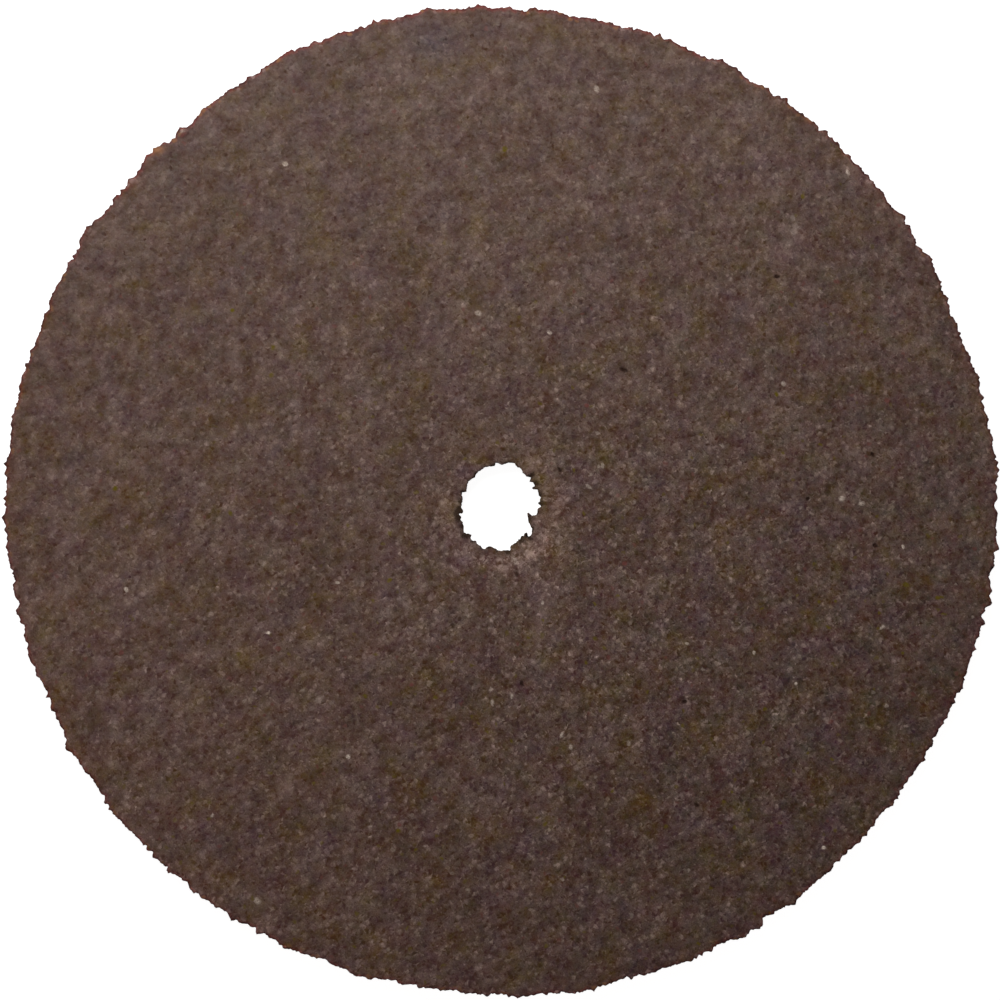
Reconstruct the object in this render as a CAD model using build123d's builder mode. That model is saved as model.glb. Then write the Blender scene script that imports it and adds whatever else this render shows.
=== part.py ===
from build123d import *
import math
import os

# Thin cut-off disc for a small rotary tool: one pressed plate of resin-bonded abrasive grain
# with a plain arbor hole. It lies flat, face up, as it comes to rest.
# Frame: origin on the arbor hole's axis at the underside, +Z along the hole, up through the
# disc. Millimetres.

# driving dimensions
rim_diameter = 24.0  # mean over the broken rim
thickness = 0.64  # pressed plate
bore_radius = 0.95  # clean wall of the arbor hole
rim_runout = (0.02, 0.09)  # the rim's centre, seen from the hole's axis
edge_break = 0.04  # worn arris round both faces
longest_flat = 3.2  # degrees of rim that one flat may span

# worn mouth of the hole on the upper face: a steep inner lip inside a shallow dish
lip_radius, lip_depth = 1.2, 0.035
dish_radius = 1.6

# The rim is ragged all round. Its corners, counter-clockwise from +X:
# (degrees, mm outside or inside the mean radius)
rim_corners = [
    (0, 0.02), (1, 0.07), (2.75, 0.05), (3, 0.11), (5, 0.12), (6.25, 0.05), (7.75, 0.08),
    (8.25, 0.02), (9.5, -0.01), (14.25, -0), (21, -0.12), (27.25, -0.07), (29.5, 0.05),
    (30, 0.05), (31, -0.07), (35.5, 0.01), (37.25, -0.09), (38.75, -0.03), (46, -0.07),
    (48.75, 0.02), (49.5, -0.04), (51.25, -0.02), (52.25, -0.06), (54.5, -0), (59.5, -0.07),
    (60.75, -0), (63.75, 0.03), (64.75, -0.06), (66.5, -0.08), (73, 0.01), (75.25, -0.05),
    (76.5, -0.01), (81.75, -0.03), (84.25, 0.04), (85.75, 0.02), (86, 0.06), (86.5, 0.06),
    (87, -0.01), (88.25, -0.01), (89, 0.05), (91, 0.03), (92.25, 0.08), (94.75, 0.04),
    (98.75, 0.14), (99.25, 0.14), (99.75, 0.05), (104.25, 0.08), (107.5, 0.03), (109, 0.08),
    (111.25, 0.03), (112.5, 0.08), (113.25, 0.04), (113.75, 0.1), (115.5, 0.11),
    (118.25, 0.05), (118.75, 0), (122, -0.03), (123.25, 0.02), (127.25, -0.02), (129.25, -0.1),
    (130, -0.1), (130.5, -0.02), (131, -0.02), (132.5, -0.1), (134, 0.02), (136, 0),
    (138, -0.09), (139.25, -0.03), (140, -0.11), (141.5, -0.06), (144, -0.08), (146.5, 0.09),
    (147.5, 0.08), (149.25, -0.03), (154.75, 0.02), (159.5, -0.04), (162.75, -0.03),
    (164.75, 0.04), (168, -0), (170.5, 0.04), (174.25, -0.01), (175.5, 0.04), (177.5, -0),
    (178.75, 0.04), (180.5, 0.01), (182, 0.09), (183, 0.01), (185.75, 0.04), (187.75, 0.02),
    (188, -0.03), (190.5, 0.02), (192, -0.02), (192.5, 0.05), (194.75, -0.02), (198.5, 0.06),
    (201.25, -0.03), (203.75, -0.06), (205, 0.02), (207.25, -0.02), (208.75, 0.04),
    (209, 0.09), (209.75, 0.1), (211.5, -0.01), (213, 0.05), (213.5, -0.01), (214.75, -0.03),
    (218.25, 0.05), (225.25, -0.01), (225.5, 0.03), (227, 0.03), (230.75, -0), (231, 0.04),
    (232.75, 0.06), (234.5, -0.03), (237.5, 0.01), (238.75, -0.04), (242.5, -0.06),
    (244.25, -0), (246.75, -0.03), (248.25, -0.11), (250.25, -0.04), (251.75, -0.05),
    (253, 0.04), (255.5, -0.05), (258.25, -0.08), (270.5, -0.04), (272, 0.02), (275, -0.03),
    (279, 0.05), (284.5, -0.05), (287, 0.02), (289.5, -0.01), (291.75, 0.05), (296.25, -0.02),
    (297.75, -0), (298.25, 0.08), (299, 0.11), (299.5, 0.11), (300, 0.05), (301.75, 0.11),
    (302.25, -0.07), (306, 0.07), (308.75, -0.01), (311.75, 0.02), (315, -0.04),
    (316.75, 0.02), (317.25, -0.03), (318.5, -0.01), (320.5, -0.05), (322, 0.01), (325, -0.03),
    (329, 0.03), (332.75, -0.01), (338.25, 0.09), (342.25, 0.03), (346.25, 0.1), (346.5, 0.04),
    (347.5, 0.04), (348, 0.16), (350.75, 0.09), (351.25, 0.04), (352.5, 0.09), (355.25, 0.11),
    (357.25, 0.05), (359, 0.09),
]

# Crumbled pockets in the hole's wall: (middle in degrees, half width in degrees, depth)
wall_pockets = [(71, 11, 0.15), (248, 6, 0.12), (274, 8, 0.12)]
# A crumb of bond still standing in the hole: (middle in degrees, half width, height)
wall_crumb = (337, 7, 0.13)


def polar(radius, degrees, centre=(0, 0)):
    a = math.radians(degrees)
    return (centre[0] + radius * math.cos(a), centre[1] + radius * math.sin(a))


def rim_outline(inset=0.0):
    """The ragged rim as a closed ring of corners, with no flat longer than longest_flat."""
    points = []
    for i, (start, off) in enumerate(rim_corners):
        end, next_off = rim_corners[(i + 1) % len(rim_corners)]
        span = (end - start) % 360
        steps = max(1, math.ceil(span / longest_flat))
        for s in range(steps):
            share = s / steps
            radius = rim_diameter / 2 + off + (next_off - off) * share - inset
            points.append(polar(radius, start + span * share, rim_runout))
    return points


# The plate: a ragged prism whose upper and lower arrises are worn off.
with BuildPart() as abrasive_disc:
    for height, inset in (
        (0, edge_break),
        (edge_break, 0),
        (thickness - edge_break, 0),
        (thickness, edge_break),
    ):
        with BuildSketch(Plane.XY.offset(height)):
            with BuildLine():
                Polyline(*rim_outline(inset), close=True)
            make_face()
    loft(ruled=True)

    # arbor hole
    with BuildSketch(Plane.XY) as arbor_hole:
        Circle(bore_radius)
        # pockets where grain has crumbled out of the wall
        for middle, half, depth in wall_pockets:
            with BuildLine():
                Polyline(
                    polar(bore_radius - 0.1, middle - half),
                    polar(bore_radius, middle - half),
                    polar(bore_radius + depth * 0.8, middle - half * 0.45),
                    polar(bore_radius + depth, middle + half * 0.1),
                    polar(bore_radius + depth * 0.7, middle + half * 0.6),
                    polar(bore_radius, middle + half),
                    polar(bore_radius - 0.1, middle + half),
                    close=True,
                )
            make_face()
        # the crumb that still stands in it
        middle, half, height = wall_crumb
        with BuildLine():
            Polyline(
                polar(bore_radius + 0.05, middle - half),
                polar(bore_radius, middle - half),
                polar(bore_radius - height * 0.8, middle - half * 0.3),
                polar(bore_radius - height, middle + half * 0.3),
                polar(bore_radius, middle + half),
                polar(bore_radius + 0.05, middle + half),
                close=True,
            )
        make_face(mode=Mode.SUBTRACT)
    extrude(amount=thickness, mode=Mode.SUBTRACT)

    # worn mouth
    with BuildSketch(Plane.XZ) as mouth:
        with BuildLine():
            Polyline(
                (0, thickness - lip_depth * 2.5),
                (bore_radius, thickness - lip_depth * 2.5),
                (lip_radius, thickness - lip_depth),
                (dish_radius, thickness),
                (dish_radius, thickness + 0.1),
                (0, thickness + 0.1),
                close=True,
            )
        make_face()
    revolve(axis=Axis.Z, mode=Mode.SUBTRACT)

abrasive_disc.part.label = "abrasive_disc"

os.makedirs("parts", exist_ok=True)
export_step(abrasive_disc.part, "parts/abrasive_disc.step")

size = abrasive_disc.part.bounding_box().size
print("box", round(size.X, 3), round(size.Y, 3), round(size.Z, 3))
print("volume", round(abrasive_disc.part.volume, 3), "faces", len(abrasive_disc.part.faces()))
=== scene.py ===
import math

import bpy
import numpy as np
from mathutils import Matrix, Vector
from mathutils.bvhtree import BVHTree
from mathutils.geometry import delaunay_2d_cdt


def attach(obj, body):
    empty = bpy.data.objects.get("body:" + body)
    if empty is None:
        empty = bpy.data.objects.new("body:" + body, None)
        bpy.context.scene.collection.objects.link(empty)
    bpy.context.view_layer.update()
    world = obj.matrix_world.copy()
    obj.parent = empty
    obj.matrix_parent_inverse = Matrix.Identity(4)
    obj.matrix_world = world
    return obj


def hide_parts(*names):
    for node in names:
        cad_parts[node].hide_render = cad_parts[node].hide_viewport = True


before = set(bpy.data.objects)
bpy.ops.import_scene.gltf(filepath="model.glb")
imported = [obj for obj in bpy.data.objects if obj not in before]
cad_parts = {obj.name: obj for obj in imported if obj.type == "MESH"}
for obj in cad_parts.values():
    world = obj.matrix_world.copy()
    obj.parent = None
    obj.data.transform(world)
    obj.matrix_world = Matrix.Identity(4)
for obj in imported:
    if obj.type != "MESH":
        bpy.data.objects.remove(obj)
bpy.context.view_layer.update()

# ---------------------------------------------------------------------------------------
# Sizes, in millimetres. The mesh is made in millimetres and scaled once at the end.
# ---------------------------------------------------------------------------------------
MM = 0.001
THICK = 0.64
RIM_CENTRE = (0.02, 0.09)
BORE_CENTRE = (-0.008, 0.007)

RIM_COLUMNS = 2000  # round the broken rim
RIM_ROWS = 9  # down its wall
BORE_SPACING = 0.034  # round the hole
BORE_ROWS = 9
TOP_PITCH = 0.0965
MOUTH_PITCH = 0.05
MOUTH_RADIUS = 1.9
UNDER_PITCH = 0.170


def at(degrees, table, period=360.0):
    """A closed table of (degree, value) pairs, read at these degrees."""
    a = np.array([p[0] for p in table], float)
    v = np.array([p[1] for p in table], float)
    a = np.concatenate([a, [a[0] + period]])
    v = np.concatenate([v, [v[0]]])
    return np.interp((np.asarray(degrees) - a[0]) % period + a[0], a, v)


def turn_from(degrees, bearing):
    """Signed angle from a bearing, between -180 and 180."""
    return (degrees - bearing + 180) % 360 - 180


def smooth(t):
    t = np.clip(t, 0, 1)
    return t * t * (3 - 2 * t)


def lattice_noise(x, y, pitch, seed, turn=0.0):
    """Smooth noise of about unit spread whose features are about one pitch wide."""
    c, s = math.cos(turn), math.sin(turn)
    u = (c * x - s * y) / pitch
    v = (s * x + c * y) / pitch
    n = int(34 / pitch) + 8
    grid = np.random.default_rng(seed).standard_normal((n, n))
    u = u + n / 2
    v = v + n / 2
    i, j = np.floor(u).astype(int), np.floor(v).astype(int)
    fu, fv = smooth(u - i), smooth(v - j)
    i, j = i % n, j % n
    i1, j1 = (i + 1) % n, (j + 1) % n
    low = grid[i, j] * (1 - fu) + grid[i1, j] * fu
    high = grid[i, j1] * (1 - fu) + grid[i1, j1] * fu
    return (low * (1 - fv) + high * fv) * 1.35


def ring_noise(degrees, count, seed, jitter=0.35):
    """Angular noise round a ring: count knots a turn, unevenly spaced, joined by straight runs, as broken grain is."""
    rng = np.random.default_rng(seed)
    knots = (np.arange(count) + rng.uniform(-jitter, jitter, count)) * 360.0 / count
    values = rng.standard_normal(count)
    return at(degrees, list(zip(knots, values)))


def teeth(degrees, table):
    """Lopsided teeth on an outline. table holds (bearing, height, degrees before, degrees after)."""
    out = np.zeros(len(degrees))
    for bearing, height, before, after in table:
        d = turn_from(degrees, bearing)
        near = (d > -before) & (d < after)
        rise = np.where(d < 0, 1 + d / before, 1 - d / after)[near]
        out[near] = np.maximum(out[near], height * rise)
    return out


def scattered_teeth(count, height, width, seed):
    """A table for teeth(): count teeth a turn, most of them low and a few tall, each leaning its own way."""
    rng = np.random.default_rng(seed)
    bearing = (np.arange(count) + rng.uniform(-0.5, 0.5, count)) * 360.0 / count
    tall = np.clip(rng.gamma(1.6, height / 1.6, count), 0, 3.2 * height)
    lean = rng.uniform(0.14, 0.86, count)
    wide = rng.uniform(0.6, 1.4, count) * width
    return list(zip(bearing, tall, wide * lean, wide * (1 - lean)))


# ---------------------------------------------------------------------------------------
# Outlines
# ---------------------------------------------------------------------------------------
# The rim's corners come from the frame's own disc, at the height where it is widest.
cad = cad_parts["abrasive_disc"]
cad_points = np.array([v.co for v in cad.data.vertices], float) / MM
cx, cy = cad_points[:, 0] - RIM_CENTRE[0], cad_points[:, 1] - RIM_CENTRE[1]
wide = (np.hypot(cx, cy) > 11) & (np.abs(cad_points[:, 2] - 0.04) < 0.012)
rim_degrees = np.degrees(np.arctan2(cy[wide], cx[wide])) % 360
order = np.argsort(rim_degrees)
rim_table = list(zip(rim_degrees[order], np.hypot(cx, cy)[wide][order]))

# Single grains that stand out of the rim, and sockets that grains have left.
proud_grains = [
    (10.5, 0.05), (35.25, 0.08), (44.75, 0.066), (51.25, 0.047), (74.5, 0.058), (91.75, 0.047),
    (134.5, 0.066), (139.0, 0.042), (141.25, 0.048), (170.75, 0.05), (181.75, 0.066),
    (185.25, 0.04), (200.5, 0.055), (204.5, 0.05), (209.5, 0.066), (218.75, 0.075),
    (223.75, 0.06), (237.25, 0.1), (240.5, 0.112), (244.0, 0.056), (260.5, 0.05),
    (293.25, 0.058), (295.25, 0.076), (297.0, 0.04), (306.25, 0.052), (323.75, 0.06),
    (330.75, 0.07), (334.25, 0.062),
]
empty_sockets = [
    (12.0, 0.056), (31.25, 0.046), (75.75, 0.044), (131.75, 0.062), (149.0, 0.046),
    (167.5, 0.05), (191.5, 0.048), (205.2, 0.066), (206.5, 0.046), (245.75, 0.068),
    (286.25, 0.07), (296.1, 0.048), (302.5, 0.05), (312.75, 0.055), (326.25, 0.055),
    (329.7, 0.05), (337.25, 0.046), (351.5, 0.05), (354.25, 0.05), (359.5, 0.048),
]

rng = np.random.default_rng(24)
step = 360.0 / RIM_COLUMNS
rim_angles = (np.arange(RIM_COLUMNS) + rng.uniform(-0.3, 0.3, RIM_COLUMNS)) * step
lean = np.random.default_rng(25).uniform(0.2, 0.8, 64)
grain_edge = teeth(rim_angles, scattered_teeth(430, 0.028, 0.92, 31))
grain_edge = np.maximum(grain_edge, teeth(rim_angles, [(a, h, l, 1 - l) for (a, h), l in zip(proud_grains, lean)]))
sockets = teeth(rim_angles, scattered_teeth(300, 0.022, 0.78, 32))
sockets = np.maximum(sockets, teeth(rim_angles, [(a, h, 1 - l, l) for (a, h), l in zip(empty_sockets, lean)]))
grain_edge = grain_edge - sockets + 0.006 * rng.standard_normal(RIM_COLUMNS)
grain_edge += 0.005 - np.median(grain_edge)
rim_radius = at(rim_angles, rim_table) + grain_edge + 0.002 - 0.0088 * np.cos(np.radians(rim_angles - 41))

# The hole's outline at the upper face, in millimetres, with the thin crumbs that hang over the hole.
bore_corners = [
    (0.95, 0.26), (0.92, 0.41), (0.82, 0.41), (0.79, 0.43), (0.79, 0.46), (0.84, 0.47), (0.85, 0.51),
    (0.81, 0.58), (0.73, 0.6), (0.75, 0.7), (0.65, 0.72), (0.56, 0.82), (0.53, 0.89), (0.48, 0.94),
    (0.43, 0.95), (0.36, 1.05), (0.21, 1.06), (0.04, 1.0), (-0.01, 1.04), (-0.1, 1.05), (-0.13, 0.98),
    (-0.35, 0.95), (-0.44, 0.89), (-0.47, 0.86), (-0.52, 0.84), (-0.58, 0.77), (-0.61, 0.69),
    (-0.66, 0.68), (-0.76, 0.6), (-0.79, 0.51), (-0.81, 0.36), (-0.91, 0.33), (-0.91, 0.24),
    (-0.9, 0.17), (-0.94, -0.03), (-0.89, -0.1), (-0.89, -0.15), (-0.93, -0.18), (-0.98, -0.16),
    (-0.99, -0.2), (-0.94, -0.25), (-0.96, -0.32), (-0.9, -0.39), (-0.88, -0.49), (-0.87, -0.64),
    (-0.68, -0.69), (-0.71, -0.76), (-0.68, -0.83), (-0.57, -0.84), (-0.55, -0.9), (-0.5, -0.95),
    (-0.47, -0.95), (-0.42, -1.03), (-0.35, -1.03), (-0.3, -0.98), (-0.22, -0.97), (-0.01, -1.08),
    (0.19, -1.06), (0.24, -1.07), (0.26, -1.05), (0.25, -1.0), (0.27, -0.95), (0.4, -0.88),
    (0.45, -0.81), (0.5, -0.79), (0.53, -0.71), (0.58, -0.72), (0.6, -0.66), (0.65, -0.635),
    (0.675, -0.66), (0.635, -0.705), (0.65, -0.76), (0.7, -0.76), (0.75, -0.71), (0.78, -0.64),
    (0.78, -0.54), (0.7, -0.39), (0.665, -0.17), (0.695, -0.15), (0.72, -0.26), (0.77, -0.25),
    (0.8, -0.22), (0.89, -0.23), (0.93, -0.05), (1.0, -0.01), (0.99, 0.02), (0.93, 0.07),
    (0.93, 0.09), (0.98, 0.12), (0.97, 0.17), (1.0, 0.21),
]


def drawn_out(corners, spacing):
    """Points along a closed outline, its corners among them."""
    made = []
    corners = np.array(corners, float)
    for p, q in zip(corners, np.roll(corners, -1, 0)):
        n = max(1, round(float(np.hypot(*(q - p))) / spacing))
        made.append(p + (q - p) * (np.arange(n) / n)[:, None])
    return np.concatenate(made)


bore_edge = drawn_out(bore_corners, BORE_SPACING)
BORE_COLUMNS = len(bore_edge)
from_middle = bore_edge - np.array(BORE_CENTRE)
bore_radius = np.hypot(from_middle[:, 0], from_middle[:, 1])
bore_degrees = np.degrees(np.unwrap(np.arctan2(from_middle[:, 1], from_middle[:, 0])))
# columns of the thin crumbs, where the outline turns back on itself, take no more noise
backward = np.diff(bore_degrees, append=bore_degrees[0] + 360) < 0.1
fragile = sum(np.roll(backward, i) for i in range(-4, 5)) > 0
bore_edge += np.where(fragile[:, None], 0, 0.0045) * rng.standard_normal((BORE_COLUMNS, 2))


def ring(angles, radius, centre):
    a = np.radians(angles)
    return np.stack([centre[0] + radius * np.cos(a), centre[1] + radius * np.sin(a)], -1)


# ---------------------------------------------------------------------------------------
# Walls: a grid of rows, each row a closed ring. Row 0 meets the upper face, the last row
# meets the underside.
# ---------------------------------------------------------------------------------------
def wall_relief(columns, rows, seed, girth):
    """How far the broken wall lies behind its outline, with a least value of 0 in each column."""
    r = np.random.default_rng(seed)
    fine = r.standard_normal((columns, rows))
    s = np.arange(columns)[:, None] * girth / columns
    z = np.arange(rows)[None, :] * THICK / rows
    lumps = lattice_noise(s % 30 + 0 * z, z * 1.2 + 0 * s + 3 * (s // 30), 0.11, seed + 1)
    torn = lattice_noise(s % 30 + 0 * z, z + 0 * s + 5 * (s // 30), 0.3, seed + 2)
    deep = 0.008 * fine + 0.017 * lumps + 0.012 * torn
    deep += np.where(fine < -1.9, 0.02, 0)
    return deep - deep.min(1, keepdims=True)


def rows_of(count, shoulder):
    """Heights of the wall's rows, closer together at both arrises."""
    inner = np.linspace(THICK - shoulder, shoulder, count - 2)
    return np.concatenate([[THICK], inner, [0.0]])


rim_z = rows_of(RIM_ROWS, 0.04)
rim_deep = wall_relief(RIM_COLUMNS, RIM_ROWS, 51, 75.4)
rim_wall = np.zeros((RIM_COLUMNS, RIM_ROWS, 3))
upper_break = 0.022 + 0.010 * ring_noise(rim_angles, 420, 52)
lower_break = 0.026 + 0.010 * ring_noise(rim_angles, 420, 53)
for k in range(RIM_ROWS):
    back = rim_deep[:, k].copy()
    if k == 0:
        back = np.clip(upper_break, 0.006, 0.06)
    elif k == RIM_ROWS - 1:
        back = np.clip(lower_break, 0.01, 0.07)
    elif k in (1, RIM_ROWS - 2):
        back = back * 0.4 + 0.002
    rim_wall[:, k, :2] = ring(rim_angles, rim_radius - back, RIM_CENTRE)
    shake = 0.0 if k in (0, RIM_ROWS - 1) else 0.011
    rim_wall[:, k, 2] = rim_z[k] + shake * np.random.default_rng(60 + k).standard_normal(RIM_COLUMNS)
rim_wall[:, 0, 2] -= np.clip(0.010 + 0.006 * rng.standard_normal(RIM_COLUMNS), 0.002, 0.03)
rim_wall[:, -1, 2] = np.clip(0.006 + 0.006 * rng.standard_normal(RIM_COLUMNS), 0.001, 0.018)
rim_wall[:, -2, 2] = np.maximum(rim_wall[:, -2, 2], 0.028)
for k in range(1, RIM_ROWS):  # no row climbs over the one above it
    rim_wall[:, k, 2] = np.minimum(rim_wall[:, k, 2], rim_wall[:, k - 1, 2] - 0.008)
rim_wall[:, -1, 2] = np.maximum(rim_wall[:, -1, 2], 0.0)

# Where the hole's upper edge has crumbled into sockets, which dip the face and are darkened with painted shade:
# (bearing, half width in degrees, reach in mm, strength).
crumbled = [
    (160, 5, 0.06, 0.8), (172, 9, 0.18, 0.74), (186, 8, 0.17, 0.76), (197, 7, 0.15, 1.0), (208, 6, 0.12, 0.9),
    (222, 6, 0.17, 1.0), (233, 4, 0.06, 0.9), (247, 4, 0.08, 0.9), (256, 4, 0.11, 1.0),
    (266, 4, 0.04, 0.8), (280, 5, 0.12, 1.0), (293, 4, 0.05, 0.8), (303, 6, 0.15, 1.0),
    (314, 4, 0.12, 1.0), (324, 4, 0.06, 0.8), (336, 7, 0.10, 0.9), (350, 4, 0.06, 0.8),
    (3, 5, 0.14, 0.9), (16, 5, 0.10, 0.8), (31, 6, 0.15, 0.9), (43, 5, 0.17, 1.0),
    (80, 7, 0.028, 0.9), (98, 6, 0.024, 0.8),
    (112, 5, 0.02, 0.6), (128, 8, 0.040, 0.9), (144, 6, 0.03, 0.8),
]


def crumbling(gap, degrees):
    """How far a spot lies inside a crumbled socket, 0 to 1."""
    out = np.zeros(np.broadcast(gap, degrees).shape)
    for bearing, half, reach, strength in crumbled:
        along = smooth(1.25 - np.abs(turn_from(degrees, bearing)) / half)
        out = np.maximum(out, strength * along * smooth(1.3 - gap / reach))
    return out


def mouth_depth(gap, degrees):
    """How far the worn mouth dips below the face, gap millimetres out from the hole's edge."""
    uneven = 1 + 0.22 * np.sin(np.radians(degrees * 2 + 40)) + 0.12 * np.sin(np.radians(degrees * 5))
    lip = np.interp(gap, [-0.1, 0.0, 0.045, 0.25, 0.62], [0.11, 0.075, 0.045, 0.020, 0.0])
    return lip * uneven + 0.045 * crumbling(gap, degrees)


# Below its edge the hole's wall runs together into an even tube, never in front of that edge.
even_degrees = np.maximum.accumulate(
    np.convolve(np.concatenate([bore_degrees[-9:] - 360, bore_degrees, bore_degrees[:9] + 360]), np.ones(19) / 19, "valid")
) + np.arange(BORE_COLUMNS) * 1e-3
even_radius = np.array([bore_radius[np.abs(turn_from(bore_degrees, a)) < 9].max() for a in even_degrees]) + 0.012
bore_even = ring(even_degrees, even_radius, BORE_CENTRE)
bore_deep = wall_relief(BORE_COLUMNS, BORE_ROWS, 71, 6.0)
bore_wall = np.zeros((BORE_COLUMNS, BORE_ROWS, 3))
bore_top = THICK - mouth_depth(np.full(BORE_COLUMNS, 0.03), bore_degrees)
chip = np.clip(0.016 + 0.012 * ring_noise(even_degrees, 70, 72), 0.004, 0.05)
outwards = from_middle / bore_radius[:, None]
for k in range(BORE_ROWS):
    share = k / (BORE_ROWS - 1)
    even = smooth((k - 1.2) / 3.2)
    calm = np.where(fragile & (k < 6), 0.0, 1.0)
    back = bore_deep[:, k] * 0.8 * even * calm
    if k == 0:
        back = np.where(fragile, 0.003, chip)
    elif k == BORE_ROWS - 1:
        back = back * 0.5 + 0.03
    xy = bore_edge * (1 - even) + bore_even * even + outwards * back[:, None]
    bore_wall[:, k, :2] = xy
    height = bore_top * (1 - share)
    if k == 1:
        height = bore_top - 0.035
    shake = 0.0 if k in (0, BORE_ROWS - 1) else 0.006
    bore_wall[:, k, 2] = height + shake * calm * np.random.default_rng(80 + k).standard_normal(BORE_COLUMNS)
bore_wall[:, -1, 2] = 0.004

for k in range(1, BORE_ROWS):
    bore_wall[:, k, 2] = np.minimum(bore_wall[:, k, 2], bore_wall[:, k - 1, 2] - 0.008)
bore_wall[:, -1, 2] = np.maximum(bore_wall[:, -1, 2], 0.0)


# ---------------------------------------------------------------------------------------
# Faces: grain-sized triangles between the two outlines
# ---------------------------------------------------------------------------------------
def lattice(pitch, radius, seed):
    r = np.random.default_rng(seed)
    rows = np.arange(-radius, radius, pitch * math.sqrt(3) / 2)
    made = []
    for j, y in enumerate(rows):
        x = np.arange(-radius, radius, pitch) + (j % 2) * pitch / 2
        made.append(np.stack([x, np.full_like(x, y)], 1))
    points = np.concatenate(made)
    return points + r.uniform(-0.33, 0.33, points.shape) * pitch


def rim_gap(xy):
    """Distance in from the rim's outline."""
    dx, dy = xy[:, 0] - RIM_CENTRE[0], xy[:, 1] - RIM_CENTRE[1]
    a = np.degrees(np.arctan2(dy, dx)) % 360
    return at(a, list(zip(rim_angles, rim_radius))) - np.hypot(dx, dy)


def bore_gap(xy):
    """Distance out from the hole's outline, and the bearing from the hole's middle."""
    dx, dy = xy[:, 0] - BORE_CENTRE[0], xy[:, 1] - BORE_CENTRE[1]
    radius = np.hypot(dx, dy)
    gap = radius - 0.97
    near = radius < 2.4
    p, a = xy[near], bore_edge
    ab = np.roll(a, -1, 0) - a
    best = np.full(len(p), 9.0)
    for (ax, ay), (bx, by) in zip(a, ab):
        t = np.clip(((p[:, 0] - ax) * bx + (p[:, 1] - ay) * by) / (bx * bx + by * by), 0, 1)
        best = np.minimum(best, np.hypot(p[:, 0] - ax - t * bx, p[:, 1] - ay - t * by))
    gap[near] = np.where(inside(p, bore_edge), -best, best)
    return gap, np.degrees(np.arctan2(dy, dx)) % 360


def inside(points, outline):
    """Which points lie inside a closed outline of any shape."""
    x, y = points[:, 0], points[:, 1]
    near = (x > outline[:, 0].min()) & (x < outline[:, 0].max()) & (y > outline[:, 1].min()) & (y < outline[:, 1].max())
    px, py = x[near], y[near]
    odd = np.zeros(len(px), bool)
    for (ax, ay), (bx, by) in zip(outline, np.roll(outline, -1, 0)):
        if ay != by:
            odd ^= ((ay > py) != (by > py)) & (px < (bx - ax) * (py - ay) / (by - ay) + ax)
    within = np.zeros(len(points), bool)
    within[near] = odd
    return within


# Single grains that stand out on the upper face: (x, y, half length, half width, heading, strength).
pale_grains = [
    (-3.68, -6.08, 0.058, 0.051, 76, 0.85), (-5.62, -3.07, 0.056, 0.041, 0, 0.74),
    (7.87, -8.29, 0.049, 0.049, 0, 0.69), (7.19, -4.31, 0.041, 0.041, 0, 0.71),
    (-5.21, 8.31, 0.066, 0.058, 0, 0.49), (8.45, 8.11, 0.080, 0.046, -58, 0.55),
    (1.21, 4.22, 0.066, 0.046, -32, 0.50), (-9.07, -2.02, 0.066, 0.051, -75, 0.55),
    (9.79, -0.98, 0.056, 0.034, -63, 0.62), (6.17, -3.55, 0.053, 0.039, 90, 0.55),
    (8.30, 0.19, 0.080, 0.063, 6, 0.45), (-3.94, -1.85, 0.063, 0.039, -9, 0.45),
    (-5.89, -9.58, 0.087, 0.070, -53, 0.45), (6.89, 2.98, 0.061, 0.061, 18, 0.38),
    (8.79, 0.07, 0.078, 0.049, 17, 0.38), (1.50, -5.55, 0.075, 0.039, 61, 0.41),
    (1.04, -2.34, 0.056, 0.041, -90, 0.41), (2.50, 0.99, 0.070, 0.046, 84, 0.32),
    (-0.52, 4.69, 0.080, 0.063, -16, 0.34), (-0.18, -4.77, 0.078, 0.049, -79, 0.40),
    (1.72, -5.84, 0.061, 0.046, -86, 0.36), (2.35, 10.13, 0.087, 0.063, -70, 0.32),
    (0.37, -1.32, 0.126, 0.061, -50, 0.26), (-6.98, -7.51, 0.058, 0.039, 49, 0.48),
    (2.16, 0.48, 0.085, 0.041, -39, 0.38), (9.28, -2.94, 0.100, 0.034, 46, 0.42),
    (4.54, -3.33, 0.051, 0.036, -20, 0.44),
    (0.29, -4.62, 0.066, 0.041, 83, 0.41),
]
yellow_grains = [
    (0.12, 8.67, 0.083, 0.063, 88, 0.92), (-6.49, 4.76, 0.061, 0.051, 0, 0.90),
    (9.86, -1.90, 0.083, 0.058, -21, 0.93), (-9.34, 0.43, 0.073, 0.061, 45, 0.87),
    (-2.68, -1.80, 0.078, 0.051, 42, 0.84), (6.72, 2.72, 0.066, 0.051, -75, 0.92),
    (-5.50, 3.86, 0.070, 0.063, 69, 0.71), (-2.46, -7.88, 0.066, 0.053, 0, 1.00),
    (-6.54, -0.17, 0.075, 0.051, -68, 0.80), (-5.55, 3.18, 0.066, 0.061, 63, 0.73),
    (10.64, -2.22, 0.070, 0.051, 4, 0.92), (7.36, 7.53, 0.066, 0.053, -90, 0.82),
]
red_grains = [
    (2.11, 2.45, 0.068, 0.058, -21, 0.90), (3.03, -1.39, 0.063, 0.058, -6, 0.86),
    (-7.69, 9.03, 0.100, 0.051, 37, 0.79), (-9.19, -3.55, 0.066, 0.056, 45, 0.96),
    (-5.38, -3.46, 0.073, 0.058, -21, 0.90), (2.64, -3.67, 0.061, 0.051, 84, 0.78),
    (-2.14, -4.33, 0.066, 0.051, 15, 0.94), (8.04, -5.23, 0.066, 0.051, 15, 0.89),
    (-2.44, -7.73, 0.058, 0.051, 14, 0.82), (8.18, 5.46, 0.085, 0.051, -7, 0.76),
    (9.40, 2.57, 0.070, 0.058, -36, 0.74),
]
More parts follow.
